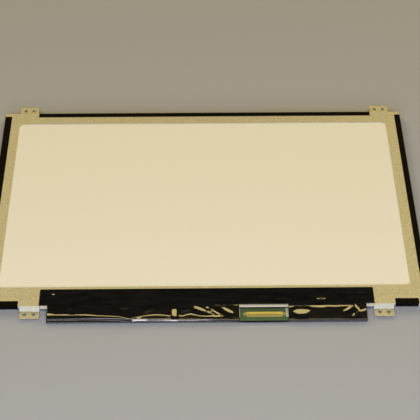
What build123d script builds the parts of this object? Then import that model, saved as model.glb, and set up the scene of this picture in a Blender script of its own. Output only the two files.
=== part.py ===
from build123d import *
import os
from math import hypot

os.makedirs("parts", exist_ok=True)

# A flat display module lying on its viewing face. +Z is its rear, +Y its top edge, z = 0 the face
# of the front polariser, and the origin is under the middle of the outline. Sizes are millimetres.

# Rear frame, stamped from thin steel sheet
frame_w = 268.0
frame_l = 157.5
steel_t = 0.3
frame_corner_r = 1.0
window_side = 10.2           # steel beside the window
window_top = 9.5             # steel above it
window_bottom = 13.4         # steel below it
window_top_r = 3.5
window_bottom_r = 2.5
crease_up = 6.9              # pressed line above the bottom edge
crease_w = 0.4
crease_depth = 0.08
fold_drop = 2.4              # side and top folds, from the rear face
fold_relief = 4.0            # plain edge between a fold and the corner
fold_ear_gap = 1.2           # between the top fold and an ear

# Fixing ears, two on the top edge and two on the bottom edge
top_ear_w = 12.4
top_ear_reach = 8.0
top_ear_hole_out = 4.6       # hole centres beyond the frame's edge
top_ear_inset = 14.4         # an ear's middle from the frame's side
bottom_ear_w = 11.8
bottom_ear_reach = 7.6
bottom_ear_hole_out = 4.8
bottom_ear_inset = 28.9
ear_slope_run = 2.4
ear_drop = 2.2
ear_root = 0.6               # lap of an ear on the frame
ear_tip_r = 1.0
ear_hole_d = 2.2
ear_hole_count = 2
ear_hole_pitch = 5.4
fixing_shift = 1.2           # ears, board and film lie this far to +X of the frame's middle

# Moulded frame round the glass and the light guide
mould_gap = 0.1              # inside the steel folds
mould_corner_r = 0.8
skirt_t = 1.2                # wall round the glass
rim_side = 3.3               # rim beside the sheets
rim_top = 2.9                # rim above the sheets
sill_t = 0.8                 # wall along the bottom edge
sill_inset = 0.05            # its face behind the frame's edge
sill_lift = 0.2              # its lower edge behind the glass ledge's front face
nose_reach = 1.4             # the sill's nose beyond the frame's bottom edge
nose_t = 0.7
nose_r = 0.25
nose_ear_gap = 0.3           # between the nose and an ear

# Liquid-crystal cell
polariser_t = 0.2
glass_t = 0.5
ledge = 4.6                  # glass bared below the colour filter
cell_gap = 0.4               # round the glass inside the moulded frame
polariser_side = 2.4         # glass beside the polarisers
polariser_end = 1.4          # glass above and below them
chip_count = 3
chip_pitch = 58.0
chip_w = 22.0
chip_l = 1.2
chip_t = 0.35

# Backlight
rim_tape_t = 0.1
rim_lap = 0.7                # rim tape over the polariser's border
prism_t = 0.15
diffuser_t = 0.1
guide_t = 1.0
reflector_t = 0.2
sheet_gap = 0.2              # round the sheets inside the moulded frame
lamp_bay = 6.2               # room for the lamps below the sheets
lamp_count = 30
lamp_w = 3.8
lamp_l = 1.2
lamp_h = 0.9
lamp_gap = 0.1               # between a lamp and the light guide
lamp_strip_end = 1.5         # bay left free at each end of the strip

# Flexes
flex_t = 0.1
flex_w = 30.0
flex_ledge_lap = 1.6
flex_board_lap = 2.4
flex_ease = 0.2              # straight run before each bend
tail_w = 8.0
tail_x = -70.0               # from the board's middle
tail_ease = 0.3
tail_gap = 0.05              # round the tail where it passes the sill and its nose

# Control board
board_inset = 40.2           # a board end from the frame's side
board_reach = 10.1           # outer long edge beyond the frame's bottom edge
board_l = 8.8
board_t = 0.8
board_corner_r = 0.5

# Display connector: its middle, from the board's middle, and its parts
connector_x = 34.0
connector_in = 3.3           # its rear from the board's inner edge
connector_l = 2.8
housing_h = 1.0
housing_base_t = 0.35
housing_rear_t = 0.9
mouth_side = 0.35            # mouth beyond the outer contacts
mouth_wall = 0.4
shell_t = 0.15
shell_l = 1.8
shell_gap = 0.05
lug_r = 0.95                 # solder lug at each end of the shell
lug_hole_r = 0.4
contact_count = 40
contact_pitch = 0.5
contact_w = 0.22
contact_t = 0.1
contact_gap = 0.02           # round a contact in the housing's rear wall
contact_foot = 0.7
contact_tip = 0.6            # housing lip bared in front of a contact

# Parts on the board: middle along X from the board's middle, then width, length, height
timing_chip_size = (-8.0, 5.0, 5.0, 0.65)
power_chip_size = (-50.0, 4.0, 4.0, 0.7)
memory_chip_size = (3.0, 3.0, 2.0, 0.5)
fuse_size = (56.0, 3.2, 1.6, 0.5)
socket_size = (tail_x, 9.6, 3.0, 0.9)
inductor_mid = -42.5         # first inductor, from the board's middle
inductor_size = (4.0, 4.0, 0.8)
inductor_count = 2
inductor_pitch = 15.0
part_setback = 1.6           # parts from the board's inner edge
capacitor_size = (1.6, 0.8, 0.7)
capacitor_pitch = 2.6
capacitor_start = -36.4      # first capacitor, from the board's middle
capacitor_count = 9
resistor_size = (1.0, 0.5, 0.3)
resistor_pitch = 1.9
resistor_start = 65.0        # first resistor, from the board's middle
resistor_end = 6.8           # board left free past the last one

# Black film over the board
film_t = 0.1
film_inset = 34.25           # an upper end from the frame's side
film_lap = 11.75             # its lap on the rear frame
film_corner_r = 0.8
film_root = 1.0              # how far its lower part runs back into the lap
film_end = 0.8               # overhang past the board's ends
film_tuck = 2.0              # lap under the board's outer edge
film_cut_side = 2.1          # bare board beside the connector's lugs
film_nose_gap = 0.05         # between the film and the sill's nose
film_lip = (0.985, 0.14)     # where it turns down, as shares of the reach and of the height

# The film's sections. Each row has a share of the run along the board, then its ridge and its brow,
# each as a share of the way out to the board's edge and of the height up to the frame.
film_left_rows = (
    (0.00, 0.61, 0.91, 0.83, 0.61), (0.10, 0.63, 0.91, 0.83, 0.61), (0.22, 0.68, 0.89, 0.84, 0.61),
    (0.33, 0.75, 0.87, 0.86, 0.61), (0.39, 0.79, 0.81, 0.89, 0.60), (0.44, 0.85, 0.70, 0.92, 0.57),
    (0.50, 0.74, 0.74, 0.91, 0.57), (0.57, 0.64, 0.78, 0.91, 0.57), (0.63, 0.73, 0.74, 0.91, 0.57),
    (0.66, 0.54, 0.76, 0.91, 0.52), (0.70, 0.73, 0.72, 0.91, 0.50), (0.75, 0.63, 0.76, 0.91, 0.48),
    (0.81, 0.74, 0.70, 0.92, 0.44), (0.90, 0.73, 0.67, 0.92, 0.40), (1.00, 0.71, 0.65, 0.93, 0.36))
film_right_rows = (
    (0.00, 0.22, 0.82, 0.94, 0.33), (0.08, 0.46, 0.65, 0.94, 0.33), (0.17, 0.50, 0.59, 0.94, 0.33),
    (0.27, 0.36, 0.71, 0.94, 0.33), (0.40, 0.22, 0.83, 0.94, 0.33), (0.62, 0.21, 0.83, 0.94, 0.33),
    (0.80, 0.22, 0.82, 0.94, 0.33), (0.88, 0.36, 0.70, 0.94, 0.33), (0.94, 0.30, 0.76, 0.94, 0.33),
    (1.00, 0.44, 0.62, 0.94, 0.33))

# Black edge tapes: their lap on the rear frame, and on the viewing side
tape_t = 0.1
left_tape_lap = 4.4
right_tape_lap = 3.6
top_tape_lap = 3.3
corner_tape_lap = 3.5
side_tape_front = 3.2
top_tape_front = 2.6
corner_tape_front = 0.8
side_tape_end = 2.6          # bare corner beyond a side tape
corner_tape_w = 14.1
top_tape_gap = 0.8           # between the top tape and an ear
corner_tape_gap = 1.1        # between a corner tape and an ear
front_tape_lap = 1.0         # ledge tape on the colour-filter glass
front_tape_gap = 0.3         # between the ledge tape and its neighbours

# Levels, from the front polariser's face to the rear
z_glass = polariser_t
z_ledge = z_glass + glass_t
z_rear_polariser = z_ledge + glass_t
z_rim_tape = z_rear_polariser + polariser_t
z_upper_prism = z_rim_tape + rim_tape_t
z_lower_prism = z_upper_prism + prism_t
z_diffuser = z_lower_prism + prism_t
z_guide = z_diffuser + diffuser_t
z_reflector = z_guide + guide_t
z_plate = z_reflector + reflector_t
z_rear = z_plate + steel_t
z_sill = z_ledge + sill_lift
z_board = z_glass + flex_t
z_parts = z_board + board_t
z_lamp_flex = z_plate - flex_t

# Places across the panel, half widths about x = 0
half_w = frame_w / 2
mould_x = half_w - steel_t - mould_gap
pocket_x = mould_x - skirt_t
glass_x = pocket_x - cell_gap
polariser_x = glass_x - polariser_side
bay_x = mould_x - rim_side
sheet_x = bay_x - sheet_gap

# Places across the panel, half widths about the board's middle
top_ear_x = half_w - top_ear_inset
bottom_ear_x = half_w - bottom_ear_inset
board_x = half_w - board_inset
film_x = half_w - film_inset
film_low_x = board_x + film_end

# Places along the panel
outline_l = top_ear_reach + frame_l + board_reach + film_t
y_top = outline_l / 2 - top_ear_reach
y_bottom = y_top - frame_l
mould_top = y_top - steel_t - mould_gap
mould_bottom = y_bottom + sill_inset
sill_inner = mould_bottom + sill_t
nose_y = y_bottom - nose_reach
pocket_top = mould_top - skirt_t
glass_top = pocket_top - cell_gap
glass_bottom = sill_inner + cell_gap
filter_bottom = glass_bottom + ledge
polariser_top = glass_top - polariser_end
polariser_bottom = filter_bottom + polariser_end
bay_top = mould_top - rim_top
sheet_top = bay_top - sheet_gap
sheet_bottom = sill_inner + lamp_bay
board_outer = y_bottom - board_reach
board_inner = board_outer + board_l
parts_rear = board_inner - part_setback
connector_rear = board_inner - connector_in
connector_mid = fixing_shift + connector_x


def ribbon(path, thick):
    """Closed outline of a bent sheet: the path, and its copy offset to the right of its travel."""
    normals = []
    for (a, b), (c, d) in zip(path, path[1:]):
        run = hypot(c - a, d - b)
        normals.append(((d - b) / run, (a - c) / run))
    before = normals[:1] + normals
    after = normals + normals[-1:]
    far = []
    for (a, b), m, n in zip(path, before, after):
        mitre = thick / (1 + m[0] * n[0] + m[1] * n[1])
        far.append((a + mitre * (m[0] + n[0]), b + mitre * (m[1] + n[1])))
    return list(path) + far[::-1]


def level_face(z, x_low, x_high, y_low, y_high):
    """Rectangle on the level z."""
    with BuildSketch(Plane.XY.offset(z)) as face:
        with Locations(((x_low + x_high) / 2, (y_low + y_high) / 2)):
            Rectangle(x_high - x_low, y_high - y_low)
    return face.sketch


def side_face(x, outline):
    """Polygon of (y, z) points in the plane across the panel at x, facing +X."""
    with BuildSketch(Plane.YZ.offset(x)) as face:
        Polygon(*outline, align=None)
    return face.sketch


def end_face(y, outline):
    """Polygon of (x, z) points in the plane along the panel at y, facing -Y."""
    with BuildSketch(Plane.XZ.offset(-y)) as face:
        Polygon(*outline, align=None)
    return face.sketch


def film_section(x, ridge, brow):
    """The film's section at x, through a ridge and a brow given as shares of its reach and height."""
    path = [(y_bottom + film_root, z_rear), (y_bottom, z_rear)]
    bends = [(share_out * board_reach, z_parts + share_up * (z_rear - z_parts))
             for share_out, share_up in (ridge, brow, film_lip)]
    over = nose_reach + film_nose_gap
    straight = z_rear + (bends[0][1] - z_rear) * over / bends[0][0]
    path.append((y_bottom - over, max(straight, z_plate + film_nose_gap)))
    path += [(y_bottom - out, z) for out, z in bends]
    path += [(board_outer, z_parts), (board_outer, z_board), (board_outer + film_tuck, z_board)]
    return side_face(x, ribbon(path, film_t))


def board_place(size):
    """Box on the board, as its middle and its size, from its place along the board."""
    along, wide, long, high = size
    return (fixing_shift + along, parts_rear - long / 2, z_parts + high / 2), (wide, long, high)


with BuildPart() as rear_frame:
    with BuildSketch(Plane.XY.offset(z_plate)):
        with Locations((0, (y_top + y_bottom) / 2)):
            RectangleRounded(frame_w, frame_l, frame_corner_r)
    extrude(amount=steel_t)
    with BuildSketch(Plane.XY.offset(z_plate)) as window:
        with Locations((0, (y_top - window_top + y_bottom + window_bottom) / 2)):
            Rectangle(frame_w - 2 * window_side, frame_l - window_top - window_bottom)
        fillet(window.vertices().group_by(Axis.Y)[-1], window_top_r)
        fillet(window.vertices().group_by(Axis.Y)[0], window_bottom_r)
    extrude(amount=steel_t, mode=Mode.SUBTRACT)
    crease_y = y_bottom + crease_up
    extrude(
        level_face(z_rear, -half_w, half_w, crease_y - crease_w / 2, crease_y + crease_w / 2),
        amount=-crease_depth, mode=Mode.SUBTRACT)
    for x in (-half_w, half_w - steel_t):
        extrude(
            level_face(z_plate, x, x + steel_t, y_bottom + fold_relief, y_top - fold_relief),
            amount=steel_t - fold_drop)
    top_fold_x = top_ear_x - top_ear_w / 2 - fold_ear_gap
    extrude(
        level_face(z_plate, fixing_shift - top_fold_x, fixing_shift + top_fold_x, y_top - steel_t, y_top),
        amount=steel_t - fold_drop)
    for edge, way, ear_x, ear_w, ear_reach, hole_out in (
            (y_top, 1, top_ear_x, top_ear_w, top_ear_reach, top_ear_hole_out),
            (y_bottom, -1, bottom_ear_x, bottom_ear_w, bottom_ear_reach, bottom_ear_hole_out)):
        z_ear = z_plate - ear_drop
        bend = [(edge - way * ear_root, z_plate), (edge, z_plate),
                (edge + way * ear_slope_run, z_ear), (edge + way * ear_reach, z_ear)]
        for x in (fixing_shift - ear_x, fixing_shift + ear_x):
            extrude(side_face(x - ear_w / 2, ribbon(bend, -way * steel_t)), amount=ear_w)
            with Locations((x, edge + way * hole_out, z_ear + steel_t / 2)):
                with GridLocations(ear_hole_pitch, 0, ear_hole_count, 1):
                    Cylinder(ear_hole_d / 2, 2 * steel_t, mode=Mode.SUBTRACT)
    upright = rear_frame.edges().filter_by(Axis.Z).group_by(Axis.Y)
    fillet(upright[0] + upright[-1], ear_tip_r)

with BuildPart() as mould_frame:
    with BuildSketch(Plane.XY.offset(z_glass)):
        with Locations((0, (mould_top + mould_bottom) / 2)):
            RectangleRounded(2 * mould_x, mould_top - mould_bottom, mould_corner_r)
    extrude(amount=z_plate - z_glass)
    extrude(
        level_face(z_upper_prism, -bay_x, bay_x, sill_inner, bay_top),
        amount=z_plate - z_upper_prism, mode=Mode.SUBTRACT)
    extrude(
        level_face(z_glass, -pocket_x, pocket_x, sill_inner, pocket_top),
        amount=z_upper_prism - z_glass, mode=Mode.SUBTRACT)
    extrude(
        level_face(z_glass, fixing_shift - film_x, fixing_shift + film_x, y_bottom, sill_inner),
        amount=z_sill - z_glass, mode=Mode.SUBTRACT)
    nose_x = bottom_ear_x - bottom_ear_w / 2 - nose_ear_gap
    extrude(
        level_face(z_plate, fixing_shift - nose_x, fixing_shift + nose_x, nose_y, sill_inner),
        amount=-nose_t)
    fillet(mould_frame.edges().filter_by(Axis.X).group_by(Axis.Y)[0].sort_by(Axis.Z)[-1], nose_r)
    tail_half = tail_w / 2 + tail_gap
    tail_mid = fixing_shift + tail_x
    extrude(
        level_face(z_plate, tail_mid - tail_half, tail_mid + tail_half, nose_y, sill_inner),
        amount=-(flex_t + tail_gap), mode=Mode.SUBTRACT)

with BuildPart() as front_polariser:
    extrude(level_face(0, -polariser_x, polariser_x, polariser_bottom, polariser_top), amount=polariser_t)

with BuildPart() as colour_filter_glass:
    extrude(level_face(z_glass, -glass_x, glass_x, filter_bottom, glass_top), amount=glass_t)

with BuildPart() as tft_glass:
    extrude(level_face(z_ledge, -glass_x, glass_x, glass_bottom, glass_top), amount=glass_t)

with BuildPart() as rear_polariser:
    extrude(
        level_face(z_rear_polariser, -polariser_x, polariser_x, polariser_bottom, polariser_top),
        amount=polariser_t)

with BuildPart() as rim_tape:
    extrude(level_face(z_rim_tape, -glass_x, glass_x, glass_bottom, glass_top), amount=rim_tape_t)
    clear_x = polariser_x - rim_lap
    extrude(
        level_face(z_rim_tape, -clear_x, clear_x, polariser_bottom + rim_lap, polariser_top - rim_lap),
        amount=rim_tape_t, mode=Mode.SUBTRACT)

with BuildPart() as upper_prism_sheet:
    extrude(level_face(z_upper_prism, -sheet_x, sheet_x, sheet_bottom, sheet_top), amount=prism_t)

with BuildPart() as lower_prism_sheet:
    extrude(level_face(z_lower_prism, -sheet_x, sheet_x, sheet_bottom, sheet_top), amount=prism_t)

with BuildPart() as diffuser_sheet:
    extrude(level_face(z_diffuser, -sheet_x, sheet_x, sheet_bottom, sheet_top), amount=diffuser_t)

with BuildPart() as light_guide:
    extrude(level_face(z_guide, -sheet_x, sheet_x, sheet_bottom, sheet_top), amount=guide_t)

with BuildPart() as reflector_sheet:
    extrude(level_face(z_reflector, -sheet_x, sheet_x, sheet_bottom, sheet_top), amount=reflector_t)

lamp_rear = sheet_bottom - lamp_gap
socket_middle = board_place(socket_size)[0]
z_tail = socket_middle[2]

with BuildPart() as lamp_flex:
    strip_x = bay_x - lamp_strip_end
    strip_bottom = sill_inner + sheet_gap
    extrude(level_face(z_lamp_flex, -strip_x, strip_x, strip_bottom, lamp_rear), amount=flex_t)
    tail = [(strip_bottom + flex_ease, z_plate), (nose_y - flex_ease, z_plate),
            (parts_rear + tail_ease, z_tail), (parts_rear, z_tail)]
    extrude(side_face(tail_mid - tail_w / 2, ribbon(tail, -flex_t)), amount=tail_w)

with BuildPart() as lamps:
    with Locations((0, lamp_rear - lamp_l / 2, z_lamp_flex - lamp_h / 2)):
        with GridLocations(2 * strip_x / lamp_count, 0, lamp_count, 1):
            Box(lamp_w, lamp_l, lamp_h)

with BuildPart() as control_board:
    with BuildSketch(Plane.XY.offset(z_board)):
        with Locations((fixing_shift, (board_inner + board_outer) / 2)):
            RectangleRounded(2 * board_x, board_l, board_corner_r)
    extrude(amount=board_t)

board_parts = {}
for name, size in (("timing_chip", timing_chip_size), ("power_chip", power_chip_size),
                   ("memory_chip", memory_chip_size), ("fuse", fuse_size), ("lamp_socket", socket_size)):
    place, box = board_place(size)
    with BuildPart() as board_parts[name]:
        with Locations(place):
            Box(*box)

for index in range(inductor_count):
    place, box = board_place((inductor_mid - index * inductor_pitch, *inductor_size))
    with BuildPart() as board_parts[f"inductor_{index + 1}"]:
        with Locations(place):
            Box(*box)

resistor_count = 1 + int((board_x - resistor_end - resistor_start) / resistor_pitch)
for name, start, count, pitch, size in (
        ("chip_capacitors", capacitor_start, capacitor_count, capacitor_pitch, capacitor_size),
        ("chip_resistors", resistor_start, resistor_count, resistor_pitch, resistor_size)):
    place, box = board_place((start + (count - 1) * pitch / 2, *size))
    with BuildPart() as board_parts[name]:
        with Locations(place):
            with GridLocations(pitch, 0, count, 1):
                Box(*box)

ledge_parts = {}
for number in range(1, chip_count + 1):
    chip_mid = fixing_shift + (number - (chip_count + 1) / 2) * chip_pitch
    with BuildPart() as ledge_parts[f"driver_chip_{number}"]:
        chip_y = (filter_bottom + glass_bottom + flex_ledge_lap) / 2
        with Locations((chip_mid, chip_y, z_ledge - chip_t / 2)):
            Box(chip_w, chip_l, chip_t)
    with BuildPart() as ledge_parts[f"panel_flex_{number}"]:
        crossing = [(glass_bottom + flex_ledge_lap, z_ledge), (glass_bottom - flex_ease, z_ledge),
                    (board_inner + flex_ease, z_board), (board_inner - flex_board_lap, z_board)]
        extrude(side_face(chip_mid - flex_w / 2, ribbon(crossing, -flex_t)), amount=flex_w)

mouth_half = (contact_count - 1) * contact_pitch / 2 + mouth_side
housing_half = mouth_half + mouth_wall
shell_half = housing_half + shell_gap
lug_x = shell_half + lug_r
z_blade = z_parts + housing_base_t
z_housing = z_parts + housing_h
connector_front = connector_rear - connector_l

with BuildPart() as connector_housing:
    housing_left = connector_mid - housing_half
    housing_right = connector_mid + housing_half
    extrude(
        level_face(z_parts, housing_left, housing_right, connector_front, connector_rear),
        amount=housing_base_t)
    extrude(
        level_face(z_blade, housing_left, housing_right, connector_rear - shell_l, connector_rear),
        amount=z_housing - z_blade)
    extrude(
        level_face(z_blade, connector_mid - mouth_half, connector_mid + mouth_half,
                   connector_front, connector_rear - housing_rear_t),
        amount=z_housing - z_blade, mode=Mode.SUBTRACT)
    with BuildSketch(Plane.XY.offset(z_blade)):
        with Locations((connector_mid, connector_rear - housing_rear_t / 2)):
            with GridLocations(contact_pitch, 0, contact_count, 1):
                Rectangle(contact_w + 2 * contact_gap, housing_rear_t)
    extrude(amount=contact_t + contact_gap, mode=Mode.SUBTRACT)

with BuildPart() as connector_shell:
    wrap = [(connector_mid - shell_half, z_parts), (connector_mid - shell_half, z_housing),
            (connector_mid + shell_half, z_housing), (connector_mid + shell_half, z_parts)]
    extrude(end_face(connector_rear, ribbon(wrap, -shell_t)), amount=shell_l)
    with BuildSketch(Plane.XY.offset(z_parts)):
        for way in (-1, 1):
            with Locations((connector_mid + way * lug_x, connector_rear - shell_l / 2)):
                Circle(lug_r)
                Circle(lug_hole_r, mode=Mode.SUBTRACT)
    extrude(amount=shell_t)

with BuildPart() as connector_contacts:
    heel = connector_rear + contact_gap
    step = [(connector_front + contact_tip, z_blade), (heel, z_blade),
            (heel, z_parts), (heel + contact_foot, z_parts)]
    contact = extrude(
        side_face(connector_mid - contact_w / 2, ribbon(step, -contact_t)),
        amount=contact_w, mode=Mode.PRIVATE)
    with GridLocations(contact_pitch, 0, contact_count, 1):
        add(contact)

with BuildPart() as board_film:
    with BuildSketch(Plane.XY.offset(z_rear)) as upper:
        with Locations((fixing_shift, y_bottom + film_lap / 2)):
            Rectangle(2 * film_x, film_lap)
        fillet(upper.vertices().group_by(Axis.Y)[-1], film_corner_r)
    extrude(amount=film_t)
    cut_half = lug_x + lug_r + film_cut_side
    for low, high, rows in ((fixing_shift - film_low_x, connector_mid - cut_half, film_left_rows),
                            (connector_mid + cut_half, fixing_shift + film_low_x, film_right_rows)):
        loft([film_section(low + row[0] * (high - low), row[1:3], row[3:]) for row in rows], ruled=True)

folded_tapes = {}
for name, way, lap in (("tape_left", -1, left_tape_lap), ("tape_right", 1, right_tape_lap)):
    with BuildPart() as folded_tapes[name]:
        wrap = [(way * (half_w - lap), z_rear), (way * half_w, z_rear),
                (way * half_w, z_glass), (way * (half_w - side_tape_front), z_glass)]
        extrude(
            end_face(y_top - side_tape_end, ribbon(wrap, -way * tape_t)),
            amount=frame_l - 2 * side_tape_end)

with BuildPart() as tape_top:
    top_tape_x = top_ear_x - top_ear_w / 2 - top_tape_gap
    wrap = [(y_top - top_tape_lap, z_rear), (y_top, z_rear),
            (y_top, z_glass), (y_top - top_tape_front, z_glass)]
    extrude(side_face(fixing_shift - top_tape_x, ribbon(wrap, -tape_t)), amount=2 * top_tape_x)

for name, way in (("tape_bottom_left", -1), ("tape_bottom_right", 1)):
    with BuildPart() as folded_tapes[name]:
        wrap = [(y_bottom + corner_tape_lap, z_rear), (y_bottom, z_rear),
                (y_bottom, z_glass), (y_bottom + corner_tape_front, z_glass)]
        near = fixing_shift + way * (bottom_ear_x + bottom_ear_w / 2 + corner_tape_gap)
        extrude(side_face(near, ribbon(wrap, tape_t)), amount=way * corner_tape_w)

with BuildPart() as front_tape:
    ledge_x = half_w - side_tape_front - front_tape_gap
    tape_rear = filter_bottom + front_tape_lap
    sill_line = y_bottom + corner_tape_front + front_tape_gap
    with BuildSketch(Plane.XY.offset(z_glass - tape_t)):
        with Locations((0, (tape_rear + sill_line) / 2)):
            Rectangle(2 * ledge_x, tape_rear - sill_line)
        tape_outer = board_outer + film_tuck + front_tape_gap
        with Locations((fixing_shift, (sill_line + tape_outer) / 2)):
            Rectangle(2 * film_low_x, sill_line - tape_outer)
    extrude(amount=tape_t)

pieces = {
    "rear_frame": rear_frame, "mould_frame": mould_frame, "front_polariser": front_polariser,
    "colour_filter_glass": colour_filter_glass, "tft_glass": tft_glass, "rear_polariser": rear_polariser,
    "rim_tape": rim_tape, "upper_prism_sheet": upper_prism_sheet, "lower_prism_sheet": lower_prism_sheet,
    "diffuser_sheet": diffuser_sheet, "light_guide": light_guide, "reflector_sheet": reflector_sheet,
    "lamp_flex": lamp_flex, "lamps": lamps, "control_board": control_board,
    "connector_housing": connector_housing, "connector_shell": connector_shell,
    "connector_contacts": connector_contacts, "board_film": board_film, "tape_top": tape_top,
    "front_tape": front_tape, **board_parts, **ledge_parts, **folded_tapes}
for label, piece in pieces.items():
    piece.part.label = label
    export_step(piece.part, f"parts/{label}.step")
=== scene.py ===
import math

import bpy
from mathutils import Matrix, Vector


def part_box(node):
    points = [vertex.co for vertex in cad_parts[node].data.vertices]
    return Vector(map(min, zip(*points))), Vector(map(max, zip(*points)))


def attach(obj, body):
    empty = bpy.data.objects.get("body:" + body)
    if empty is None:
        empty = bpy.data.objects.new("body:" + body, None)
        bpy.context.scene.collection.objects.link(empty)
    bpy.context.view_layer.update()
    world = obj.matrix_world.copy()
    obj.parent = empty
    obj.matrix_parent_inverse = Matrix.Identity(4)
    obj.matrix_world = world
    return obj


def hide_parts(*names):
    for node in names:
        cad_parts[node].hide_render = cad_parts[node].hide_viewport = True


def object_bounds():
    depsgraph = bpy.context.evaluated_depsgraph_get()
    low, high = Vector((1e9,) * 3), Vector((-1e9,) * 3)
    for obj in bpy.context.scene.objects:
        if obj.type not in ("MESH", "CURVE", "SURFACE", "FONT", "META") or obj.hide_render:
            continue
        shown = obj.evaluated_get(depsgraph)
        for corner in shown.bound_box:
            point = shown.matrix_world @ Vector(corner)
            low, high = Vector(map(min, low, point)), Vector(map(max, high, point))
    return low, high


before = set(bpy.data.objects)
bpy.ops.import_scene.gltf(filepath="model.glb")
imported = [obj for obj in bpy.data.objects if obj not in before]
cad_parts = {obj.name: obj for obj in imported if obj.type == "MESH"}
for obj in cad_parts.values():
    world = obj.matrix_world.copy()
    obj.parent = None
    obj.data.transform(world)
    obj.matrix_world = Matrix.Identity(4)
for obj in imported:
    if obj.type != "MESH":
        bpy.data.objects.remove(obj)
CAD_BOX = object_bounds()

bl_info = {
    "name": "Laptop screen panel",
    "version": (1, 0, 0),
    "blender": (4, 5, 0),
    "location": "View3D > Sidebar > Screen panel",
    "description": "Finishes, wrinkled board film and studio for a slim display panel seen from its rear",
    "category": "Object",
}

MM = 0.001
BODY = "root"


def linear(code):
    """An sRGB hex colour as linear red, green, blue and alpha."""
    parts = [int(code[i:i + 2], 16) / 255 for i in (0, 2, 4)]
    return tuple(c / 12.92 if c <= 0.04045 else ((c + 0.055) / 1.055) ** 2.4 for c in parts) + (1.0,)


def per_metre(size_mm):
    """Scale of a texture whose detail is this many millimetres across."""
    return 1.0 / (size_mm * MM)


def colour_prop(name, description, code):
    """A colour that the user may change, from its sRGB hex value."""
    return bpy.props.FloatVectorProperty(
        name=name, description=description, subtype="COLOR", size=4, min=0.0, max=1.0,
        default=linear(code))


def length_prop(name, description, size_mm):
    """A length that the user may change, from its size in millimetres."""
    return bpy.props.FloatProperty(
        name=name, description=description, subtype="DISTANCE", unit="LENGTH", min=0.0,
        precision=5, default=size_mm * MM)


def power_prop(name, description, watts):
    """A lamp's power that the user may change."""
    return bpy.props.FloatProperty(
        name=name, description=description, subtype="POWER", unit="POWER", default=watts)


class PanelFinishes(bpy.types.PropertyGroup):
    """Colours of the panel's materials."""
    steel: colour_prop("Steel", "Zinc-coated sheet of the rear frame", "D3D2C3")
    mould: colour_prop("Moulding", "White moulded frame", "D3CFC3")
    reflector: colour_prop("Reflector", "White reflector sheet", "EAEBEA")
    tape: colour_prop("Tape", "Black edge tape", "0A0807")
    film: colour_prop("Film", "Black film over the board", "0B0A09")
    mask: colour_prop("Solder mask", "Green lacquer of the board", "567554")
    # Darker than bare laminate: the cut edge's colour also paints the shade under the board's outer edge.
    laminate: colour_prop("Laminate", "Glass laminate at the board's cut edge", "1C1C12")
    gilt: colour_prop("Gilding", "Gold-plated connector metal", "D6CF87")
    plastic: colour_prop("Connector plastic", "Ivory connector body", "C1AC6E")
    # Colour of the pale strips that stand for the bright slivers along the film's cut edges.
    strip: colour_prop("Clear strip", "Clear tape beside the film's cut-out", "C4CFC9")
    flex: colour_prop("Flex", "Amber flexible circuit", "5A3F1E")
    glass: colour_prop("Glass", "Cell glass over its dark layers", "16181A")
    polariser: colour_prop("Polariser", "Anti-glare face of the screen", "0E1013")
    chip: colour_prop("Chip", "Moulded chip body", "191919")
    ceramic: colour_prop("Ceramic", "Chip capacitor and fuse body", "8C6B4A")
    ferrite: colour_prop("Ferrite", "Inductor core and resistor body", "2B2A2C")


class StripSizes(bpy.types.PropertyGroup):
    """Sizes of the pale strips beside the film's cut-out."""
    left: length_prop("Left width", "Bare width of the left strip", 0.5)
    right: length_prop("Right width", "Bare width of the right strip", 1.5)
    lap: length_prop("Lap", "Lap of a strip under the film", 0.4)
    length: length_prop("Length", "Length of a strip from the board's inner edge", 6.2)
    thickness: length_prop("Thickness", "Thickness of a strip", 0.06)


class FilmSizes(bpy.types.PropertyGroup):
    """Sizes of the black film over the board."""
    thickness: length_prop("Thickness", "Thickness of the film", 0.08)
    step: length_prop("Mesh step", "Spacing of the film's mesh along the board", 0.45)
    end: length_prop("End", "Overhang past the board's ends", 0.8)
    cut_left: length_prop("Cut-out left", "Bare board left of the connector's lugs", 2.5)
    cut_right: length_prop("Cut-out right", "Bare board right of the connector's lugs", 1.7)
    hang: length_prop("Overhang", "Overhang of the lap's edge in the cut-out", 0.25)
    corner: length_prop("Corner", "Radius of the upper corners", 0.8)
    tuck: length_prop("Tuck", "Lap under the board's outer edge", 2.0)
    facet: bpy.props.FloatProperty(
        name="Facet slope", description="Slope of the facets that catch the lamp",
        min=0.0, default=0.262)


class StudioSettings(bpy.types.PropertyGroup):
    """Floor, lamps and camera."""
    floor: colour_prop("Floor", "Pale grey floor", "A7ACBD")
    lamp: colour_prop("Lamp", "Warm ceiling lamp", "FFE594")
    wall: colour_prop("Wall", "Warm light from the walls behind the panel", "FFE29C")
    fill: colour_prop("Fill", "Cool light from the camera's side", "E2EEFF")
    strip: colour_prop("Strip", "Pale light low behind the camera", "FFF4FA")
    room: colour_prop("Room", "Dim light of the room", "C8C2BC")
    lamp_power: power_prop("Lamp power", "Ceiling lamp", 5.2)
    wall_power: power_prop("Wall power", "Each warm wall", 160.0)
    fill_power: power_prop("Fill power", "Broad cool fill", 3.1)
    strip_power: power_prop("Strip power", "Low pale strip", 5.2)
    room_strength: bpy.props.FloatProperty(
        name="Room strength", description="Strength of the dim room light", min=0.0, default=0.1)
    lens: bpy.props.FloatProperty(
        name="Lens", description="Focal length on a 36 mm frame, in millimetres", default=94.452)


def add(tree, kind, settings=None, links=None):
    """Adds a node. Settings are sockets by name or number, else attributes; links feed its sockets."""
    node = tree.nodes.new(kind)
    for key, value in (settings or {}).items():
        if key == "stops":
            ramp = node.color_ramp.elements
            while len(ramp) < len(value):
                ramp.new(1.0)
            for element, (place, colour) in zip(ramp, value):
                element.position = place
                element.color = colour
        elif isinstance(key, int) or key in node.inputs:
            node.inputs[key].default_value = value
        else:
            setattr(node, key, value)
    for key, (source, socket) in (links or {}).items():
        tree.links.new(source.outputs[socket], node.inputs[key])
    return node


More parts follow.
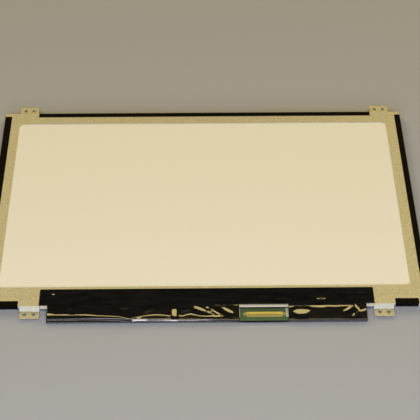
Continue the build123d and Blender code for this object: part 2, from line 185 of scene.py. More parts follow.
def start_finish(name, settings):
    """A new material with its shader, and the coordinates of its object in metres."""
    material = bpy.data.materials.new(name)
    material.use_nodes = True
    tree = material.node_tree
    tree.nodes.clear()
    shader = add(tree, "ShaderNodeBsdfPrincipled", settings)
    add(tree, "ShaderNodeOutputMaterial", links={"Surface": (shader, "BSDF")})
    place = add(tree, "ShaderNodeTexCoord")
    return material, tree, shader, place


def toned(colour, share):
    """A colour made darker or lighter by a share."""
    return tuple(min(1.0, c * share) for c in colour[:3]) + (1.0,)


# Most of the noise lies between these values, so finishes are spread over them.
NOISE_LOW, NOISE_HIGH = 0.3, 0.7


def grain(tree, shader, place, grain_mm, height_mm, tones, rough, stretch=(1, 1, 1)):
    """Fine noise that drives a finish: its colour between tones, its roughness, and a low bump."""
    spread = add(tree, "ShaderNodeMapping", {"Scale": stretch}, {"Vector": (place, "Object")})
    speck = add(tree, "ShaderNodeTexNoise",
                {"Scale": per_metre(grain_mm), "Detail": 4.0, "Roughness": 0.6},
                {"Vector": (spread, "Vector")})
    tone = add(tree, "ShaderNodeValToRGB",
               {"stops": [(NOISE_LOW, tones[0]), (NOISE_HIGH, tones[1])]}, {"Fac": (speck, "Fac")})
    tree.links.new(tone.outputs["Color"], shader.inputs["Base Color"])
    gloss = add(tree, "ShaderNodeMapRange",
                {"From Min": NOISE_LOW, "From Max": NOISE_HIGH,
                 "To Min": rough[0], "To Max": rough[1]},
                {"Value": (speck, "Fac")})
    tree.links.new(gloss.outputs["Result"], shader.inputs["Roughness"])
    bump = add(tree, "ShaderNodeBump", {"Strength": 1.0, "Distance": height_mm * MM},
               {"Height": (speck, "Fac")})
    tree.links.new(bump.outputs["Normal"], shader.inputs["Normal"])


def galvanised_steel(colour):
    """Electro-galvanised steel sheet, stamped: a dull yellowish metal with a fine speckle."""
    material, tree, shader, place = start_finish("galvanised_steel_stamped", {"Metallic": 1.0})
    # The zinc grains are about 0.3 mm; they are drawn at 0.9 mm so that the speckle shows.
    grain(tree, shader, place, grain_mm=0.9, height_mm=0.012,
          tones=(toned(colour, 0.74), toned(colour, 1.12)), rough=(0.6, 0.72))
    return material


def plain_finish(name, colour, grain_mm, height_mm, contrast, rough, settings=None):
    """A finish of one colour with its own fine grain."""
    # The real grain of most of these surfaces is under 0.1 mm; it is drawn coarser so that it shows.
    material, tree, shader, place = start_finish(name, settings or {})
    tones = (toned(colour, 1 - contrast), toned(colour, 1 + contrast))
    grain(tree, shader, place, grain_mm, height_mm, tones, rough)
    return material


def cast_film(colour):
    """Black polyester film, cast: a glossy skin, bright only where bent, over a soft sheen."""
    material, tree, shader, place = start_finish(
        "polyester_film_cast",
        {"Coat Weight": 1.0, "Coat IOR": 1.6, "Coat Roughness": 0.09, "Specular IOR Level": 0.11})
    # Faint clouds of about 3 mm painted into the colour, drawn out along the board: painted reflections
    # of the dim room, as lighter and darker streaks.
    grain(tree, shader, place, grain_mm=3.0, height_mm=0.0015,
          tones=(toned(colour, 0.0), toned(colour, 2.2)), rough=(0.18, 0.24), stretch=(0.2, 1, 1))
    return material


def solder_mask(colour, laminate):
    """Green solder mask on glass laminate: glossy lacquer over tracks, with bare cut edges."""
    material, tree, shader, place = start_finish(
        "solder_mask_on_laminate", {"Coat Weight": 0.4, "Coat Roughness": 0.15, "Roughness": 0.4})
    # Tracks of about 0.2 mm, drawn at 0.6 mm so that they show.
    tracks = add(tree, "ShaderNodeTexBrick",
                 {"Scale": per_metre(2.4), "Mortar Size": 0.12, "Mortar Smooth": 0.2, "offset": 0.37,
                  "Color1": toned(colour, 1.15), "Color2": colour,
                  "Mortar": toned(colour, 0.75)},
                 {"Vector": (place, "Object")})
    # Faces that look up or down have the lacquer; the cut edges show the laminate, whose colour is
    # darkened to also paint the shade under the board's outer edge.
    normal = add(tree, "ShaderNodeNewGeometry")
    axes = add(tree, "ShaderNodeSeparateXYZ", links={"Vector": (normal, "True Normal")})
    level = add(tree, "ShaderNodeMath", {"operation": "ABSOLUTE"}, {0: (axes, "Z")})
    face = add(tree, "ShaderNodeMath", {"operation": "GREATER_THAN", 1: 0.5}, {0: (level, "Value")})
    skin = add(tree, "ShaderNodeMix", {"data_type": "RGBA", 6: laminate},
               {0: (face, "Value"), 7: (tracks, "Color")})
    tree.links.new(skin.outputs[2], shader.inputs["Base Color"])
    bump = add(tree, "ShaderNodeBump", {"Strength": 0.6, "Distance": 0.02 * MM},
               {"Height": (tracks, "Fac")})
    tree.links.new(bump.outputs["Normal"], shader.inputs["Normal"])
    return material


def finish_nodes(material, *names):
    """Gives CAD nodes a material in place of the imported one."""
    for name in names:
        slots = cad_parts[name].data.materials
        slots.clear()
        slots.append(material)


class SCREENPANEL_OT_steel_frame(bpy.types.Operator):
    """Finish the stamped steel rear frame with its ears"""
    bl_idname = "screenpanel.steel_frame"
    bl_label = "Steel frame"

    def execute(self, context):
        finishes = context.scene.panel_finishes
        finish_nodes(galvanised_steel(tuple(finishes.steel)), "rear_frame")
        return {"FINISHED"}


class SCREENPANEL_OT_mouldings(bpy.types.Operator):
    """Finish the white moulded frame and the reflector sheet in the window"""
    bl_idname = "screenpanel.mouldings"
    bl_label = "Moulded frame and reflector"

    def execute(self, context):
        finishes = context.scene.panel_finishes
        # Injection-moulded polycarbonate: bright white with a faint spark-eroded texture.
        finish_nodes(
            plain_finish("polycarbonate_moulded", tuple(finishes.mould), grain_mm=0.6,
                         height_mm=0.006, contrast=0.05, rough=(0.38, 0.5)),
            "mould_frame")
        # Voided polyester sheet: an even cream white with almost no gloss.
        finish_nodes(
            plain_finish("voided_polyester_cast", tuple(finishes.reflector), grain_mm=1.2,
                         height_mm=0.002, contrast=0.015, rough=(0.55, 0.65),
                         settings={"Specular IOR Level": 0.3}),
            "reflector_sheet")
        return {"FINISHED"}


class SCREENPANEL_OT_edge_tapes(bpy.types.Operator):
    """Finish the black tapes folded over the panel's edges"""
    bl_idname = "screenpanel.edge_tapes"
    bl_label = "Edge tapes"

    def execute(self, context):
        finishes = context.scene.panel_finishes
        # Dull black polyester tape: an even grain that greys where light grazes it. The grain is
        # about 0.3 mm and is drawn at 1.6 mm so that it shows.
        finish_nodes(
            plain_finish("polyester_tape_coated", tuple(finishes.tape), grain_mm=1.6, height_mm=0.008,
                         contrast=0.6, rough=(0.5, 0.65), settings={"Specular IOR Level": 0.045}),
            "tape_left", "tape_right", "tape_top", "tape_bottom_left", "tape_bottom_right",
            "front_tape", "rim_tape")
        return {"FINISHED"}


class SCREENPANEL_OT_cell(bpy.types.Operator):
    """Finish the glass cell, its polarisers, driver chips and flexes"""
    bl_idname = "screenpanel.cell"
    bl_label = "Glass cell"

    def execute(self, context):
        finishes = context.scene.panel_finishes
        # Anti-glare polariser: almost black, with a fine etched sparkle that blurs reflections.
        finish_nodes(
            plain_finish("polariser_etched", tuple(finishes.polariser), grain_mm=0.5, height_mm=0.004,
                         contrast=0.2, rough=(0.3, 0.42)),
            "front_polariser", "rear_polariser")
        # Float glass over the dark layers of the cell: smooth and glossy.
        finish_nodes(
            plain_finish("cell_glass_polished", tuple(finishes.glass), grain_mm=3.0, height_mm=0.0005,
                         contrast=0.15, rough=(0.04, 0.09), settings={"IOR": 1.52}),
            "colour_filter_glass", "tft_glass")
        # Silicon driver chips, lapped: dark with a soft mirror.
        finish_nodes(
            plain_finish("silicon_lapped", tuple(finishes.chip), grain_mm=0.5, height_mm=0.001,
                         contrast=0.2, rough=(0.15, 0.25)),
            "driver_chip_1", "driver_chip_2", "driver_chip_3")
        # Polyimide flex, laminated: amber over copper tracks.
        finish_nodes(
            plain_finish("polyimide_laminated", tuple(finishes.flex), grain_mm=0.8, height_mm=0.006,
                         contrast=0.25, rough=(0.25, 0.4)),
            "panel_flex_1", "panel_flex_2", "panel_flex_3", "lamp_flex")
        return {"FINISHED"}


class SCREENPANEL_OT_backlight(bpy.types.Operator):
    """Finish the light guide, its sheets and the row of lamps"""
    bl_idname = "screenpanel.backlight"
    bl_label = "Backlight"

    def execute(self, context):
        white = linear("EDEFF0")
        # Acrylic guide, moulded: clear, with printed dots that scatter its light.
        finish_nodes(
            plain_finish("acrylic_moulded", white, grain_mm=1.0, height_mm=0.004, contrast=0.06,
                         rough=(0.08, 0.2), settings={"IOR": 1.49}),
            "light_guide")
        # Prism and diffuser films, cast: pearly from ridges too fine to see.
        finish_nodes(
            plain_finish("prism_film_cast", linear("DCE0E2"), grain_mm=0.4, height_mm=0.004,
                         contrast=0.08, rough=(0.2, 0.35)),
            "upper_prism_sheet", "lower_prism_sheet", "diffuser_sheet")
        # Lamp packages, moulded: pale resin with a yellow phosphor.
        finish_nodes(
            plain_finish("lamp_resin_moulded", linear("EAD98C"), grain_mm=0.5, height_mm=0.004,
                         contrast=0.12, rough=(0.3, 0.45)),
            "lamps")
        return {"FINISHED"}


class SCREENPANEL_OT_control_board(bpy.types.Operator):
    """Finish the control board and the parts soldered to it"""
    bl_idname = "screenpanel.control_board"
    bl_label = "Control board"

    def execute(self, context):
        finishes = context.scene.panel_finishes
        finish_nodes(solder_mask(tuple(finishes.mask), tuple(finishes.laminate)), "control_board")
        # Epoxy chip bodies, moulded: matt black with a fine sparkle of filler.
        finish_nodes(
            plain_finish("epoxy_moulded", tuple(finishes.chip), grain_mm=0.4, height_mm=0.006,
                         contrast=0.3, rough=(0.5, 0.65)),
            "timing_chip", "power_chip", "memory_chip")
        # Ceramic chip parts, fired: tan and slightly glossy.
        finish_nodes(
            plain_finish("ceramic_fired", tuple(finishes.ceramic), grain_mm=0.5, height_mm=0.004,
                         contrast=0.2, rough=(0.3, 0.45)),
            "chip_capacitors", "fuse")
        # Ferrite cores and resistor bodies, pressed and fired: dark grey and dull.
        finish_nodes(
            plain_finish("ferrite_pressed", tuple(finishes.ferrite), grain_mm=0.5, height_mm=0.01,
                         contrast=0.25, rough=(0.5, 0.7)),
            "inductor_1", "inductor_2", "chip_resistors")
        return {"FINISHED"}


class SCREENPANEL_OT_connector(bpy.types.Operator):
    """Finish the display connector and the lamp socket"""
    bl_idname = "screenpanel.connector"
    bl_label = "Display connector"

    def execute(self, context):
        finishes = context.scene.panel_finishes
        # Gold-plated bronze, stamped: bright warm metal with faint rolling marks.
        finish_nodes(
            plain_finish("gilt_bronze_stamped", tuple(finishes.gilt), grain_mm=0.6, height_mm=0.004,
                         contrast=0.15, rough=(0.5, 0.62), settings={"Metallic": 1.0}),
            "connector_shell", "connector_contacts")
        # Liquid-crystal polymer, moulded: ivory and slightly waxy.
        finish_nodes(
            plain_finish("crystal_polymer_moulded", tuple(finishes.plastic), grain_mm=0.5,
                         height_mm=0.006, contrast=0.1, rough=(0.4, 0.55)),
            "connector_housing", "lamp_socket")
        return {"FINISHED"}


# Sections of the film's lower part. Each row has the place along the board; the middle of the bright
# facet out from the plate's edge, its length and its height; then the brow and the chin of the front
# face, each as its distance out from the plate's edge and its height. All are millimetres.
FILM_LEFT = (
    (-93.4, 6.0, 1.8, 3.28, 8.75, 2.38, 9.22, 1.6), (-90.6, 6.1, 1.3, 3.28, 8.75, 2.4, 9.24, 1.59),
    (-88.0, 6.45, 0.8, 3.28, 8.75, 2.42, 9.26, 1.58), (-81.0, 6.4, 1.0, 3.26, 8.7, 2.45, 9.2, 1.62),
    (-79.0, 6.75, 0.35, 3.26, 8.65, 2.48, 9.18, 1.63), (-76.7, 6.55, 0.6, 3.26, 8.6, 2.52, 9.14, 1.63),
    (-72.0, 6.4, 0.9, 3.26, 8.55, 2.54, 9.08, 1.67), (-67.0, 6.8, 0.9, 3.24, 8.52, 2.62, 9.12, 1.63),
    (-62.5, 7.2, 0.6, 3.22, 8.55, 2.7, 9.2, 1.63), (-57.8, 7.4, 0.7, 3.2, 8.65, 2.71, 9.36, 1.54),
    (-53.0, 7.7, 0.6, 3.17, 8.78, 2.72, 9.54, 1.46), (-50.7, 7.8, 0.5, 3.15, 8.9, 2.72, 9.7, 1.39),
    (-48.0, 8.45, 0.5, 3.05, 9.1, 2.75, 9.98, 1.3), (-46.0, 8.95, 0.4, 2.93, 9.3, 2.75, 10.06, 1.48),
    (-43.6, 9.2, 0.3, 2.78, 9.4, 2.66, 10.08, 1.52), (-42.6, 8.8, 0.3, 2.8, 9.3, 2.55, 10.07, 1.38),
    (-41.0, 8.3, 0.3, 2.8, 9.2, 2.5, 9.9, 1.49), (-36.5, 7.43, 0.45, 2.8, 9.2, 2.5, 9.88, 1.52),
    (-33.5, 6.95, 0.6, 2.86, 9.25, 2.48, 9.95, 1.38), (-29.0, 6.53, 0.8, 2.94, 9.32, 2.46, 10.02, 1.37),
    (-25.0, 6.8, 0.6, 2.9, 9.35, 2.45, 10.05, 1.36), (-23.0, 7.05, 0.55, 2.86, 9.38, 2.44, 10.1, 1.34),
    (-20.2, 7.4, 0.5, 2.82, 9.4, 2.4, 10.1, 1.32),
    (-19.9, 4.9, 3.0, 2.87, 9.5, 2.1, 10.15, 1.16), (-19.2, 4.9, 4.4, 2.87, 9.5, 2.1, 10.15, 1.16),
    (-18.3, 5.3, 4.4, 2.77, 9.5, 2.1, 10.15, 1.16), (-17.4, 5.0, 5.2, 2.85, 9.5, 2.1, 10.15, 1.16),
    (-16.3, 5.7, 3.2, 2.66, 9.5, 2.1, 10.15, 1.16),
    (-16.0, 7.2, 0.6, 2.74, 9.65, 2.3, 10.22, 1.42), (-12.7, 7.3, 0.6, 2.73, 9.65, 2.3, 10.22, 1.42),
    (-10.3, 6.4, 0.8, 2.85, 9.65, 2.3, 10.22, 1.42), (-8.0, 6.2, 0.9, 2.88, 9.65, 2.3, 10.22, 1.42),
    (-5.6, 6.85, 0.7, 2.78, 9.65, 2.3, 10.22, 1.42), (-3.0, 7.45, 0.6, 2.7, 9.55, 2.35, 10.1, 1.5),
    (1.5, 7.65, 0.8, 2.6, 9.55, 2.35, 10.1, 1.5), (4.0, 7.4, 1.1, 2.56, 9.57, 2.33, 10.1, 1.5),
    (6.5, 7.7, 1.2, 2.54, 9.6, 2.31, 10.1, 1.5), (9.0, 7.5, 1.2, 2.58, 9.62, 2.3, 10.12, 1.49),
    (11.0, 7.6, 0.3, 2.6, 9.68, 2.26, 10.18, 1.45), (12.0, 7.6, 0.1, 2.54, 9.72, 2.24, 10.2, 1.45),
    (20.7, 7.8, 0.1, 2.46, 10.15, 2.0, 10.48, 1.46))
FILM_RIGHT = (
    (49.3, 4.8, 0.1, 2.81, 10.05, 2.05, 10.2, 1.66), (52.0, 4.8, 0.1, 2.81, 10.05, 2.05, 10.2, 1.66),
    (53.0, 4.9, 1.5, 2.76, 10.05, 2.05, 10.2, 1.66), (54.5, 5.0, 2.9, 2.67, 10.05, 2.03, 10.2, 1.64),
    (57.0, 5.05, 3.2, 2.64, 10.05, 2.0, 10.2, 1.61), (59.5, 5.0, 2.7, 2.67, 10.05, 2.03, 10.2, 1.64),
    (61.3, 4.6, 1.5, 2.77, 10.05, 2.05, 10.2, 1.66), (62.5, 4.3, 0.1, 2.88, 10.05, 2.05, 10.2, 1.66),
    (95.8, 4.3, 0.1, 2.88, 10.05, 2.05, 10.2, 1.66))

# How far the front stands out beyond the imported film's: places along the board and distances.
SLACK = ((-93.4, 0.3), (-5.0, 0.35), (12.0, 0.5), (20.7, 0.65), (26.0, 0.8), (46.0, 0.8),
         (49.3, 0.65), (95.8, 0.65))
# The front's upper rim lies this far behind its foot and this far above the board.
RIM_BACK, RIM_RISE = 0.08, 0.05
# The ledge behind the rim starts this far out from the chin and falls at this slope, which stays dark.
LEDGE_GAP, LEDGE = 0.1, 0.42
# The tuck ends this far below the board.
TUCK_DROP = 0.02
# A facet shorter than the first length has no slope of its own; over the second it gains it.
FACET_FROM, FACET_OVER = 0.1, 0.2
# The edge tape's thickness over the plate's bottom edge.
TAPE_THICK = 0.1

# Mesh rows on the lap, and on each run of a lower section: to the facet, along it, to the brow, the
# chin, the ledge, the rim and the foot, then the tuck. The last runs take no wrinkles.
LAP_ROWS = 34
LOWER_ROWS = (26, 5, 7, 9, 4, 3, 5, 4)
SMOOTH_RUNS = 4
# Rows of the front's foot that run on as a lip under the cut-out.
LIP_ROWS = 3

# Bands where the film tips over and catches the lamp. Each has its added slope, then its stations:
# the place along the board, the band's middle out from the plate's edge, and its width there.
BANDS = (
    (0.12, ((48.9, 1.9, 1.2), (51.5, 1.7, 0.7), (53.0, 1.3, 0.3), (61.5, 1.3, 0.3), (63.0, 1.5, 0.9),
            (67.0, 1.7, 1.3), (70.0, 1.75, 1.4), (73.0, 1.4, 0.9), (77.0, 1.6, 1.0), (81.0, 1.4, 0.8),
            (85.0, 1.35, 0.9), (88.4, 1.4, 0.9))),
    (0.19, ((-7.4, 1.2, 1.4), (-4.0, 2.3, 2.2), (-0.5, 3.7, 2.0), (3.6, 5.6, 1.3), (5.6, 6.8, 0.8))),
    (0.21, ((0.4, 1.0, 1.0), (4.2, 3.5, 1.6), (7.2, 5.7, 1.5), (11.0, 7.8, 0.8))),
    (0.18, ((-1.8, 1.2, 0.6), (0.4, 1.9, 0.8), (2.2, 2.6, 0.6))),
    (0.09, ((1.0, 4.4, 1.6), (3.6, 5.6, 1.3), (6.2, 7.1, 0.8))),
    (0.06, ((0.2, 0.9, 1.0), (4.2, 3.5, 1.6), (5.2, 4.2, 1.6))),
    (0.24, ((2.3, 4.45, 1.1), (5.1, 4.5, 1.1))),
    (0.17, ((8.2, 1.1, 0.8), (11.9, 2.9, 2.0), (14.3, 4.2, 2.2), (17.2, 5.5, 0.9))),
    (0.24, ((0.5, 0.5, 0.4), (12.0, 0.45, 0.4))),
    (0.17, ((11.2, 0.45, 0.4), (21.3, 0.45, 0.4))),
    (0.14, ((81.0, 5.3, 0.9), (84.8, 3.1, 2.0), (88.0, 1.5, 0.9))),
    (0.16, ((88.2, 1.0, 1.9), (89.9, 1.9, 2.9), (90.8, 3.4, 2.9), (92.0, 4.7, 1.2))),
    (0.18, ((86.0, 8.4, 0.9), (88.2, 6.9, 1.9), (90.0, 5.6, 1.6), (91.2, 5.0, 0.8))),
    (0.15, ((91.4, 5.0, 1.0), (93.4, 4.5, 1.4), (96.3, 3.5, 1.1))))
# Bands fade in and out over this length along the board.
BAND_FADE = 0.7

# Wrinkles pressed into the film: the two ends of each, along the board and out from the plate's
# edge, then its half width and height, in millimetres. Those with ends below 0 lie on the plate.
WRINKLES = (
    (-38.0, 5.5, -29.0, 0.8, 1.8, 0.28), (-52.0, 1.5, -44.0, 1.2, 1.4, 0.26),
    (-21.7, 0.8, -20.4, 2.2, 0.6, 0.07), (-82.0, 2.6, -78.0, 0.9, 1.0, 0.24),
    (65.8, -4.1, 72.8, -4.2, 0.6, 0.36), (-92.2, -8.6, -88.6, -8.6, 0.75, 0.31),
    (89.9, -8.6, 95.9, -8.5, 0.9, 0.25), (-15.0, 4.6, -8.0, 2.0, 1.4, 0.18))
# A wrinkle has this share of its height at its ends, and is cut off at this many half widths.
WRINKLE_END, WRINKLE_REACH = 0.35, 3


def between(rows, x):
    """The values of a table of sections at x, on straight lines between its rows."""
    if x <= rows[0][0]:
        return rows[0][1:]
    for low, high in zip(rows, rows[1:]):
        if x <= high[0]:
            share = (x - low[0]) / (high[0] - low[0])
            return [a + (b - a) * share for a, b in zip(low[1:], high[1:])]
    return rows[-1][1:]


def spaced(ends, counts):
    """Points on the straight runs between ends, with a count for each run."""
    points = []
    for a, b, count in zip(ends, ends[1:], counts):
        points += [tuple(p + (q - p) * k / count for p, q in zip(a, b)) for k in range(count)]
    return points + [tuple(ends[-1])]


def eased(rows, passes):
    """Rows of points smoothed along each row, ends kept."""
    for _ in range(passes):
        rows = [rows[0]] + [
            tuple((a + 2 * b + c) / 4 for a, b, c in zip(before, here, after))
            for before, here, after in zip(rows, rows[1:], rows[2:])] + [rows[-1]]
    return rows


def band_fall(x, out, until):
    """How far the bands let the film down at a place, in millimetres; made up by a distance out."""
    total = 0.0
    for slope, stations in BANDS:
        first, last = stations[0][0], stations[-1][0]
        if first < x < last and 0 < out < until:
            middle, width = between(stations, x)
            fade = min(1.0, (x - first) / BAND_FADE, (last - x) / BAND_FADE)
            passed = min(1.0, max(0.0, (out - middle) / width + 0.5))
            total += slope * width * fade * (passed - out / until)
    return total


def wrinkle_height(x, out):
    """Height of all wrinkles at a place on the film, in millimetres."""
    total = 0.0
    for x0, out0, x1, out1, half, high in WRINKLES:
        along_x, along_out = x1 - x0, out1 - out0
        square = along_x ** 2 + along_out ** 2
        share = ((x - x0) * along_x + (out - out0) * along_out) / square
        held = min(1.0, max(0.0, share))
        gap = math.hypot(x - x0 - held * along_x, out - out0 - held * along_out)
        if gap < WRINKLE_REACH * half:
            taper = WRINKLE_END + (1 - WRINKLE_END) * math.sin(math.pi * held)
            total += high * math.exp(-(gap / half) ** 2) * taper
    return total


class SCREENPANEL_OT_board_film(bpy.types.Operator):
    """Lay the wrinkled black film over the board and the plate's bottom edge"""
    bl_idname = "screenpanel.board_film"
    bl_label = "Board film"

    def execute(self, context):
        sizes = context.scene.film_sizes
        low, high = (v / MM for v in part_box("board_film"))
        board_low, board_high = (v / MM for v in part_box("control_board"))
        shell_low, shell_high = (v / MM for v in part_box("connector_shell"))
        edge_y = (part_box("tape_bottom_left")[0].y + TAPE_THICK * MM) / MM
        corner = sizes.corner / MM
        top = high.z
        outer = edge_y - low.y
        left_end, right_end = board_low.x - sizes.end / MM, board_high.x + sizes.end / MM
        cut_left, cut_right = shell_low.x - sizes.cut_left / MM, shell_high.x + sizes.cut_right / MM

        # Columns along the board, with one at each end and edge of the cut-out.
        stops = [low.x, low.x + corner, left_end, cut_left, cut_right, right_end,
                 high.x - corner, high.x]
        columns = []
        for a, b in zip(stops, stops[1:]):
            count = max(2, round((b - a) / (sizes.step / MM)))
            columns += [a + (b - a) * k / count for k in range(count)]
        columns.append(stops[-1])

        # Sections as distances out from the plate's edge and heights, from the lap to the tuck.
        grid, made_up = [], []
        for x in columns:
            rim = min(x - low.x, high.x - x)
            drop = corner - math.sqrt(max(0.0, corner ** 2 - max(0.0, corner - rim) ** 2))
            start = high.y - edge_y - drop
            lap = [(-start + start * k / LAP_ROWS, top) for k in range(LAP_ROWS)]
            hang = sizes.hang / MM if cut_left < x < cut_right else 0.0
            rows = FILM_LEFT if x < cut_right else FILM_RIGHT
            front = outer + between(SLACK, x)[0]
            rim_out, rim_z = front - RIM_BACK, board_high.z + RIM_RISE
            facet_out, facet_len, facet_z, brow_out, brow_z, chin_out, chin_z = between(rows, x)
            ledge_out = chin_out + min(LEDGE_GAP, (rim_out - chin_out) / 2)
            # A facet too short to matter keeps the slope of the sheet around it.
            sheet = (top - brow_z) / brow_out
            share = min(1.0, max(0.0, (facet_len - FACET_FROM) / FACET_OVER))
            half = facet_len / 2
            fall = half * (sheet + (sizes.facet - sheet) * share)
            ends = [(hang, top), (facet_out - half, facet_z + fall), (facet_out + half, facet_z - fall),
                    (brow_out, brow_z), (chin_out, chin_z),
                    (ledge_out, rim_z + LEDGE * (rim_out - ledge_out)), (rim_out, rim_z),
                    (front, board_low.z), (front - sizes.tuck / MM, board_low.z - TUCK_DROP)]
            grid.append(lap + spaced(ends, LOWER_ROWS))
            made_up.append(brow_out + (facet_out - half - brow_out) * share)
        columns_count, rows_count = len(grid), len(grid[0])
        # Smooth along each section, and across the sections of each part.
        grid = [section[:LAP_ROWS] + eased(section[LAP_ROWS:], 1) for section in grid]
        spans = [(0, columns.index(cut_left)), (columns.index(cut_right), columns_count - 1)]
        for first, last in spans:
            for row in range(LAP_ROWS, rows_count):
                strip = eased([grid[c][row] for c in range(first, last + 1)], 1)
                for c, point in zip(range(first, last + 1), strip):
                    grid[c][row] = point

        # Under the cut-out only a narrow lip of the film runs on along the board's outer edge.
        lip = rows_count - 1 - LOWER_ROWS[-1] - LIP_ROWS
        points, index = [], {}
        for c, x in enumerate(columns):
            for r, (out, z) in enumerate(grid[c]):
                covered = left_end <= x <= cut_left or cut_right <= x <= right_end
                if r > LAP_ROWS and not (covered or (r >= lip and cut_left < x < cut_right)):
                    continue
                index[c, r] = len(points)
                lift = 0.0
                if r < rows_count - sum(LOWER_ROWS[-SMOOTH_RUNS:]):
                    lift = wrinkle_height(x, out) - band_fall(x, out, made_up[c])
                points.append((x * MM, (edge_y - out) * MM, (z + lift) * MM))
        faces = []
        for c in range(columns_count - 1):
            for r in range(rows_count - 1):
                ring = [(c, r), (c, r + 1), (c + 1, r + 1), (c + 1, r)]
                if all(key in index for key in ring):
                    if LAP_ROWS <= r < lip and cut_left <= columns[c] < cut_right:
                        continue
                    faces.append([index[key] for key in ring])
        mesh = bpy.data.meshes.new("board_film_wrinkled")
        mesh.from_pydata(points, [], faces)
        mesh.validate()
        mesh.update()
        film = bpy.data.objects.new("board_film_wrinkled", mesh)
        context.scene.collection.objects.link(film)
        for polygon in mesh.polygons:
            polygon.use_smooth = True
        shell = film.modifiers.new("film_thickness", "SOLIDIFY")
        shell.thickness = sizes.thickness
        shell.offset = -1.0
        mesh.materials.append(cast_film(tuple(context.scene.panel_finishes.film)))
        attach(film, BODY)
        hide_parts("board_film")
        return {"FINISHED"}


# Faces of a box whose eight corners run along X first, then Y, then Z.
BOX_FACES = ((0, 2, 3, 1), (4, 5, 7, 6), (0, 1, 5, 4), (2, 6, 7, 3), (0, 4, 6, 2), (1, 3, 7, 5))


class SCREENPANEL_OT_pale_edge_strips(bpy.types.Operator):
    """Lay pale strips on the board along the film's cut edges beside the connector"""
    bl_idname = "screenpanel.clear_strips"
    bl_label = "Clear strips"

    def execute(self, context):
        sizes = context.scene.strip_sizes
        film = context.scene.film_sizes
        board_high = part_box("control_board")[1]
        shell_low, shell_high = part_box("connector_shell")
        # Pale and glossy strips that stand for the bright slivers along the film's cut edges.
        finish = plain_finish("polyester_tape_clear", tuple(context.scene.panel_finishes.strip),
                              grain_mm=0.8, height_mm=0.004, contrast=0.08, rough=(0.2, 0.35))
        cut_left, cut_right = shell_low.x - film.cut_left, shell_high.x + film.cut_right
        edges = {"clear_strip_left": (cut_left - sizes.lap, cut_left + sizes.left),
                 "clear_strip_right": (cut_right - sizes.right, cut_right + sizes.lap)}
        for name, (left, right) in edges.items():
            low = Vector((left, board_high.y - sizes.length, board_high.z))
            high = Vector((right, board_high.y, board_high.z + sizes.thickness))
            mesh = bpy.data.meshes.new(name)
            corners = [(x, y, z) for z in (low.z, high.z) for y in (low.y, high.y)
                       for x in (low.x, high.x)]
            mesh.from_pydata(corners, [], BOX_FACES)
            mesh.materials.append(finish)
            strip = bpy.data.objects.new(name, mesh)
            context.scene.collection.objects.link(strip)
            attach(strip, BODY)
        return {"FINISHED"}


# The floor reaches this far to each side and lies this far below the part, in metres.
FLOOR_REACH, FLOOR_GAP = 3.0, 0.0001
# Area lights: name, width and height, place and aim in metres, then the setting that colours it.
LIGHTS = (
    ("ceiling_lamp", (1.1, 0.17), (0.1, 0.04, 1.25), (0.1, 0.04, 0.0), "lamp"),
    ("warm_wall_left", (2.4, 2.4), (-3.58, 4.26, 2.25), (0, 0, 0), "wall"),
    ("warm_wall_right", (2.4, 2.4), (3.58, 4.26, 2.25), (0, 0, 0), "wall"),
    ("cool_fill", (0.975, 0.375), (0.0, -0.6, 0.375), (0, 0, 0), "fill"),
    ("pale_strip", (0.8, 0.16), (-0.1, -1.28, 0.28), (0, -0.08, 0), "strip"))
# The camera stands in front of the bottom edge and looks down on the rear: metres and degrees.
CAMERA_PLACE = (-0.00328, -0.44546, 0.54598)
CAMERA_TURN = (39.0407, -0.2035, -0.6803)
CAMERA_NEAR, SENSOR_MM = 0.01, 36.0


def area_light(scene, name, size, place, aim, colour, power):
    """A rectangular lamp at a place, turned to an aim."""
    data = bpy.data.lights.new(name, "AREA")
    data.shape = "RECTANGLE"
    data.size, data.size_y = size
    data.color = colour[:3]
    data.energy = power
    lamp = bpy.data.objects.new(name, data)
    lamp.location = place
    lamp.rotation_euler = (Vector(aim) - Vector(place)).to_track_quat("-Z", "Y").to_euler()
    scene.collection.objects.link(lamp)


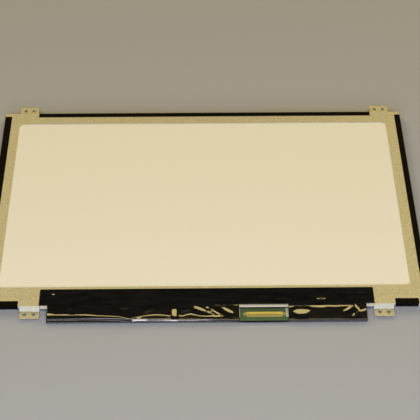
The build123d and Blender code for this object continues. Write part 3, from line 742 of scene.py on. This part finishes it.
class SCREENPANEL_OT_studio(bpy.types.Operator):
    """Set up the floor, the lamps, the dim room and the camera"""
    bl_idname = "screenpanel.studio"
    bl_label = "Studio"

    def execute(self, context):
        scene = context.scene
        studio = scene.studio_settings
        mesh = bpy.data.meshes.new("studio_floor")
        corners = [(FLOOR_REACH * x, FLOOR_REACH * y, 0)
                   for x, y in ((-1, -1), (1, -1), (1, 1), (-1, 1))]
        mesh.from_pydata(corners, [], [(0, 1, 2, 3)])
        floor = bpy.data.objects.new("studio_floor", mesh)
        floor.location.z = CAD_BOX[0].z - FLOOR_GAP
        scene.collection.objects.link(floor)
        # Painted board, rolled: pale grey and matt.
        mesh.materials.append(
            plain_finish("floor_board_painted", tuple(studio.floor), grain_mm=4.0, height_mm=0.004,
                         contrast=0.01, rough=(0.6, 0.7), settings={"Specular IOR Level": 0.25}))

        for name, size, place, aim, kind in LIGHTS:
            area_light(scene, name, size, place, aim,
                       getattr(studio, kind), getattr(studio, kind + "_power"))

        world = bpy.data.worlds.new("dim_room")
        world.use_nodes = True
        world.node_tree.nodes.clear()
        light = add(world.node_tree, "ShaderNodeBackground",
                    {"Color": tuple(studio.room), "Strength": studio.room_strength})
        add(world.node_tree, "ShaderNodeOutputWorld", links={"Surface": (light, "Background")})
        scene.world = world
        scene.view_settings.view_transform = "Standard"

        camera = bpy.data.objects.new("camera", bpy.data.cameras.new("camera"))
        camera.data.lens = studio.lens
        camera.data.sensor_width = SENSOR_MM
        camera.data.clip_start = CAMERA_NEAR
        camera.location = CAMERA_PLACE
        camera.rotation_euler = [math.radians(a) for a in CAMERA_TURN]
        scene.collection.objects.link(camera)
        scene.camera = camera
        return {"FINISHED"}


GROUPS = {"panel_finishes": PanelFinishes, "film_sizes": FilmSizes, "strip_sizes": StripSizes,
          "studio_settings": StudioSettings}
OPERATORS = (SCREENPANEL_OT_studio, SCREENPANEL_OT_steel_frame, SCREENPANEL_OT_mouldings,
             SCREENPANEL_OT_edge_tapes, SCREENPANEL_OT_cell, SCREENPANEL_OT_backlight,
             SCREENPANEL_OT_control_board, SCREENPANEL_OT_connector, SCREENPANEL_OT_board_film,
             SCREENPANEL_OT_pale_edge_strips)


class SCREENPANEL_PT_sidebar(bpy.types.Panel):
    """Sidebar panel with the pieces in the order they are made"""
    bl_label = "Screen panel"
    bl_idname = "SCREENPANEL_PT_sidebar"
    bl_space_type = "VIEW_3D"
    bl_region_type = "UI"
    bl_category = "Screen panel"

    def draw(self, context):
        for group in GROUPS:
            settings = getattr(context.scene, group)
            for name in settings.__annotations__:
                self.layout.prop(settings, name)
        for operator in OPERATORS:
            self.layout.operator(operator.bl_idname)


def register():
    """Registers the settings, the operators and the sidebar panel."""
    for name, group in GROUPS.items():
        bpy.utils.register_class(group)
        setattr(bpy.types.Scene, name, bpy.props.PointerProperty(type=group))
    for cls in (*OPERATORS, SCREENPANEL_PT_sidebar):
        bpy.utils.register_class(cls)


def unregister():
    """Takes out what register put in."""
    for cls in (SCREENPANEL_PT_sidebar, *reversed(OPERATORS)):
        bpy.utils.unregister_class(cls)
    for name, group in GROUPS.items():
        delattr(bpy.types.Scene, name)
        bpy.utils.unregister_class(group)


def main():
    register()
    bpy.ops.screenpanel.studio()
    bpy.ops.screenpanel.steel_frame()
    bpy.ops.screenpanel.mouldings()
    bpy.ops.screenpanel.edge_tapes()
    bpy.ops.screenpanel.cell()
    bpy.ops.screenpanel.backlight()
    bpy.ops.screenpanel.control_board()
    bpy.ops.screenpanel.connector()
    bpy.ops.screenpanel.board_film()
    bpy.ops.screenpanel.clear_strips()


if __name__ == "__main__":
    main()
